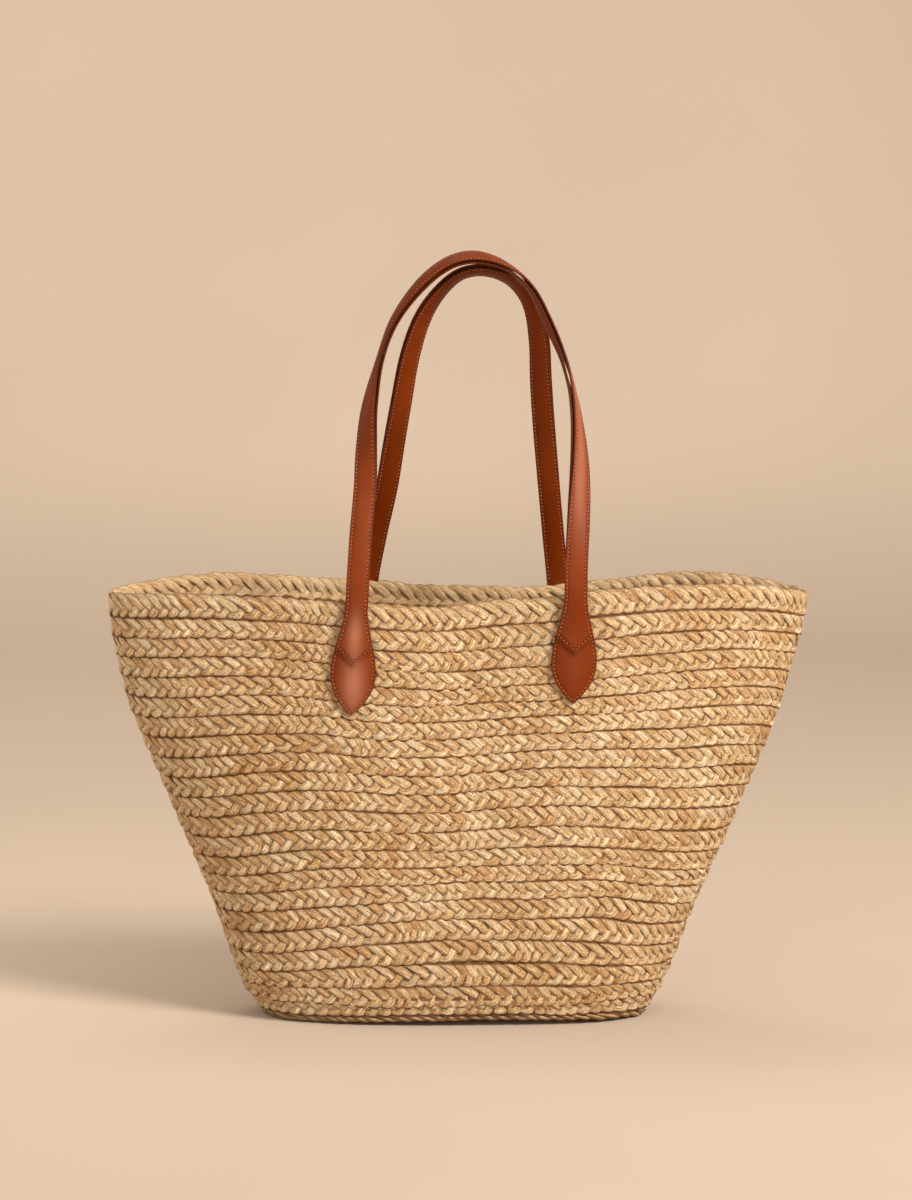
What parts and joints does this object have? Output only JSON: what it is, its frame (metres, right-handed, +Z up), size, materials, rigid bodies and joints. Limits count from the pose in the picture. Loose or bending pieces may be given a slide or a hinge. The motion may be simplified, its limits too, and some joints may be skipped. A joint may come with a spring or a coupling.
{
  "type": "straw basket bag",
  "caption": "Open straw basket bag of stitched braid rows on a flat oval base, flared to a wide rim, with two leather strap handles sewn on by spade-shaped tabs.",
  "frame": {"origin": "on the surface that the bag stands on, under the middle of the bag", "axes": "+Z up; +X along the bag's length, to the right seen from the front; -Y is the front, where the front handle's tabs are"},
  "size_m": [0.5035, 0.1464, 0.549],
  "materials": {
    "straw_wall": "natural golden straw braid, uneven pale and brown strands",
    "straw_base": "natural straw braid, a little darker",
    "handle_leather": "rust-brown leather, half matt, dark painted edges",
    "lining_leather": "rust-brown leather, matt"
  },
  "bodies": {
    "root": {"basket_base": "straw_base", "basket_wall": "straw_wall", "front_handle": "handle_leather", "front_handle_lining": "lining_leather", "back_handle": "handle_leather", "back_handle_lining": "lining_leather"}
  },
  "joints": []
}
